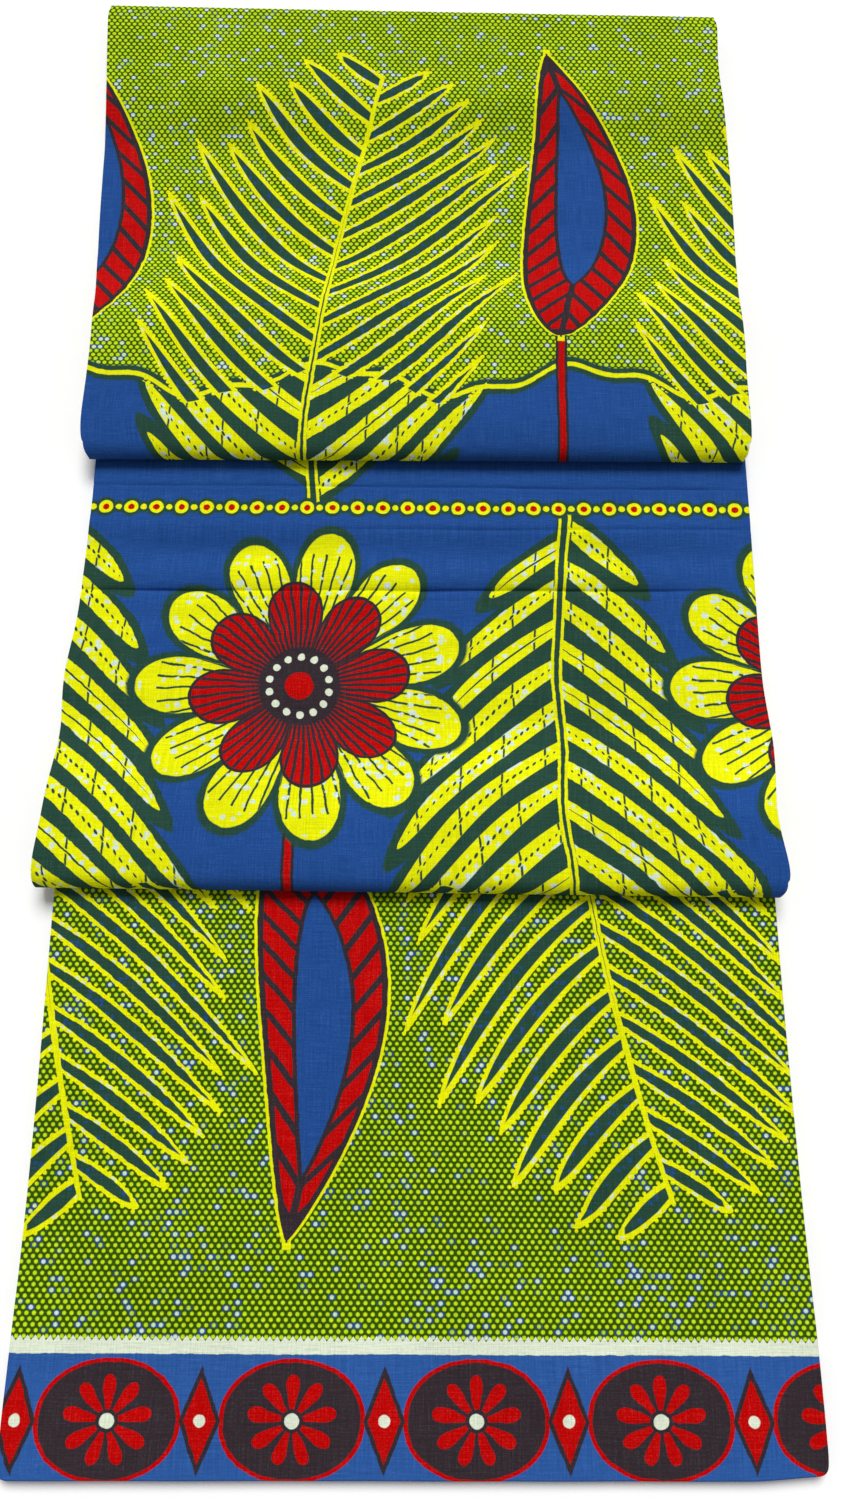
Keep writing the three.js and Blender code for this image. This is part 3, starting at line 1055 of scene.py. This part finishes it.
def print_fronds(cloth, spots, small_spots):
    """Yellow leaflets, outlined on the ground and solid with fine green detail on the blue."""
    frond = cloth.motif("frond", foot_x=86.0, foot_y=580.0)
    leaf, rib, out, off_vein = frond["Leaf"], frond["Rib"], frond["Out"], frond["Across"]
    on_blue = cloth.on_blue
    cloth.add(DARK_GREEN, frond["Shade"].past(0.0, 1.6) * on_blue)
    cloth.add(DARK_GREEN, (leaf.most(rib) + 1.4).past(0.0, 0.9) * 0.9 * on_blue)
    cloth.add(YELLOW, (leaf + cloth.dots * 1.3).past(0.0))
    core = leaf - (2.2 + on_blue * 30.0)
    cloth.add(DARK_GREEN, core.past(0.0))
    cloth.add(BARE_CLOTH_AND_GLINT, spots * leaf.past(0.7) * (1 - core.past(-0.4)))
    # a leaflet has a plain vein or a beaded one, by chance
    beaded = frond["Luck"].past(0.45, 0.02)
    thinner = (frond["Along"] - 0.45) * (frond["Along"] - 0.45) * 3.0
    vein = 0.75 - off_vein - thinner
    bead_row = 1.15 - (out.wrapped(3.6) ** 2 + off_vein * off_vein).root() - thinner
    detail = vein.past(0.0) * (1 - beaded) + bead_row.past(0.0) * beaded
    cloth.add(DARK_GREEN, detail * leaf.past(0.6) * on_blue)
    # slivers where the yellow missed the outline, and cross notches
    missed = cloudy(cloth.tree, cloth.x * 0.045, cloth.y * 0.045, 61.0).past(0.64, 0.05)
    cloth.add(BARE_CLOTH_AND_GLINT, (0.6 - abs(leaf - 0.3)).past(0.0) * missed * on_blue)
    notch = (0.6 - abs(out.wrapped(23.0))).least(off_vein - 1.4)
    cloth.add(DARK_GREEN, notch.past(0.0, 0.4) * leaf.past(0.0) * on_blue)
    cloth.add(BLUE, small_spots * core.past(0.0) * 0.7)
    cloth.add(YELLOW, (rib + 0.2).past(0.0))
    cloth.add(DARK_GREEN, (rib - 1.5).past(0.0))


def print_bead_chain(cloth):
    """A chain of large and small beads along the middle of the cloth."""
    pitch = 15.0
    off_line = (cloth.y - CLOTH_WIDTH / 2) ** 2

    def beads(shift, radius):
        dx = ((cloth.x / pitch + shift).fract() - 0.5) * pitch
        return radius - (dx * dx + off_line).root()

    bead = beads(0.0, 4.2).most(beads(0.5, 1.9))
    cloth.add(DARK_GREEN, (bead + 2.2).past(0.0, 0.8))
    cloth.add(YELLOW, bead.past(0.0))
    cloth.add(RED, (bead - 2.2).past(0.0))


def print_buds(cloth):
    bud = cloth.motif("bud", foot_x=-64.0, foot_y=318.0)
    cloth.add(MAROON, (bud["Stem"] + 0.8).past(0.0))
    cloth.add(RED, (bud["Stem"] - 0.9).past(0.0))
    cloth.add(YELLOW, (bud["Bud"] + 2.2).past(0.0))
    cloth.add(MAROON, (bud["Bud"] + 0.6).past(0.0))
    cloth.add(RED, (bud["Bud"] - 2.6).past(0.0) * (bud["Scale"] - 2.4).past(0.0))
    cloth.add(MAROON, (bud["Core"] + 2.4).past(0.0))
    cloth.add(BLUE, bud["Core"].past(0.0))


def print_flowers(cloth, spots):
    """On the far half they are smaller, and lie wholly inside the second fold."""
    flower = cloth.motif("flower", centre_x=-64.0, centre_y=477.0, radius=92.0 - cloth.far * 26.0)
    petal, inner, middle, vein = flower["Petal"], flower["Inner"], flower["Middle"], flower["Vein"]
    petal_tips = (flower["Radial"] - 80).past(0.0)
    cloth.add(DARK_GREEN, (petal + 3.2).past(0.0, 1.2))
    cloth.add(YELLOW, petal.past(0.0))
    cloth.add(DARK_GREEN, petal.past(0.0) * (vein - 0.25).past(0.0) * (1 - petal_tips))
    cloth.add(BARE_CLOTH_AND_GLINT, spots * petal.past(1.0))
    cloth.add(MAROON, (inner + 1.6).past(0.0))
    cloth.add(RED, inner.past(0.0))
    cloth.add(MAROON, inner.past(0.0) * vein.past(0.0))
    cloth.add(MAROON, middle.past(0.0))
    cloth.add(CREAM, flower["Seeds"].past(0.0))
    cloth.add(RED, (middle - 15.0).past(0.0))


def print_borders(cloth):
    border = cloth.motif("border")
    band = border["Band"].past(0.0)
    cloth.add(BORDER_BLUE, band)
    cloth.add(CREAM, border["Line"].past(0.0))
    cloth.add(RED, (border["Oval"] + 1.2).past(0.0) * band)
    cloth.add(MAROON, (border["Oval"] - 0.6).past(0.0) * band)
    cloth.add(RED, border["Daisy"].past(0.0) * band)
    cloth.add(CREAM, border["Eye"].past(0.0) * band)
    cloth.add(MAROON, border["Lozenge"].past(0.0) * band)
    cloth.add(RED, (border["Lozenge"] - 2.0).past(0.0) * band)
    cloth.add(CREAM, border["Bead"].past(0.0) * band)


def wear_weave_and_sheen(cloth):
    """The threads' height, with the dye uneven over them and a painted sheen of pale fibre glints."""
    tree, x, y = cloth.tree, cloth.x_true, cloth.y_true
    weave = cloth.unwarped("weave")
    # painted sheen: a faint pale grain mixed into the colour stands in for light glinting off the fibres
    fibre_glints = cloudy(tree, x * 0.9, y * 1.1, 71.0, 3.0)
    cloth.add(BARE_CLOTH_AND_GLINT, (fibre_glints - 0.5 + weave["Tone"] * 0.6).most(0.0) * 0.075)
    tired = cloudy(tree, x * 0.014, y * 0.02, 41.0)
    mottle = cloudy(tree, x * 0.62, y * 0.85, 51.0, 3.0)
    shade = tree.nodes.new("ShaderNodeHueSaturation")
    connect(tree, cloth.colour, shade.inputs["Color"])
    connect(tree, 0.72 + weave["Tone"] * 0.62 + mottle * 0.34 + tired * 0.24, shade.inputs["Value"])
    cloth.colour = Sum(tree, shade.outputs[0])
    return weave["Height"]


def wax_print_group(groups):
    """The whole print: the ground, the blue field, fronds, buds, flowers and the two borders."""
    tree, given, put_out = pattern_group("wax_print", [("Cloth", "place", None)], ["Colour", "Height"])
    cloth = Print(tree, given["Cloth"], groups)
    spots = cloth.unwarped("bubbles", spacing=5.4, size=0.27, share=0.62)["Spots"]
    small_spots = cloth.unwarped("bubbles", spacing=3.1, size=0.3, share=0.3)["Spots"]
    print_field_edge(cloth)
    print_fronds(cloth, spots, small_spots)
    print_bead_chain(cloth)
    print_buds(cloth)
    print_flowers(cloth, spots)
    print_borders(cloth)
    height = wear_weave_and_sheen(cloth)
    put_out(Colour=cloth.colour, Height=height)
    return tree


def wax_print_material(name, print_group):
    material = bpy.data.materials.new(name)
    material.use_nodes = True
    tree = material.node_tree
    shader = tree.nodes["Principled BSDF"]
    cloth = tree.nodes.new("ShaderNodeUVMap")
    cloth.uv_map = "cloth"
    look = use_group(tree, print_group, cloth=Sum(tree, cloth.outputs["UV"]))
    connect(tree, look["Colour"], shader.inputs["Base Color"])
    bump = tree.nodes.new("ShaderNodeBump")
    bump.inputs["Distance"].default_value = 0.00006
    bump.inputs["Strength"].default_value = 0.6
    connect(tree, look["Height"], bump.inputs["Height"])
    connect(tree, Sum(tree, bump.outputs[0]), shader.inputs["Normal"])
    shader.inputs["Roughness"].default_value = 0.7
    shader.inputs["Specular IOR Level"].default_value = 0.03
    shader.inputs["Sheen Weight"].default_value = 0.01
    shader.inputs["Sheen Roughness"].default_value = 0.5
    return material


groups = {
    "dots": dot_ground_group(),
    "bubbles": bubbles_group(),
    "frond": palm_frond_group(),
    "flower": open_flower_group(),
    "bud": closed_bud_group(),
    "border": selvage_border_group(),
    "weave": plain_weave_group(),
}
wax_print = wax_print_group(groups)
for tier, piece in pieces.items():
    piece.data.materials.append(wax_print_material(f"wax_print_{tier}", wax_print))


# ---------------------------------------------------------------- the floor
def lay_floor():
    bm = bmesh.new()
    bmesh.ops.create_grid(bm, x_segments=1, y_segments=1, size=4)
    mesh = bpy.data.meshes.new("studio_floor")
    bm.to_mesh(mesh)
    bm.free()
    floor = bpy.data.objects.new("studio_floor", mesh)
    scene.collection.objects.link(floor)
    material = bpy.data.materials.new("pale_paper")
    material.use_nodes = True
    shader = material.node_tree.nodes["Principled BSDF"]
    shader.inputs["Base Color"].default_value = (0.98, 0.98, 0.98, 1)
    shader.inputs["Roughness"].default_value = 0.9
    mesh.materials.append(material)


lay_floor()
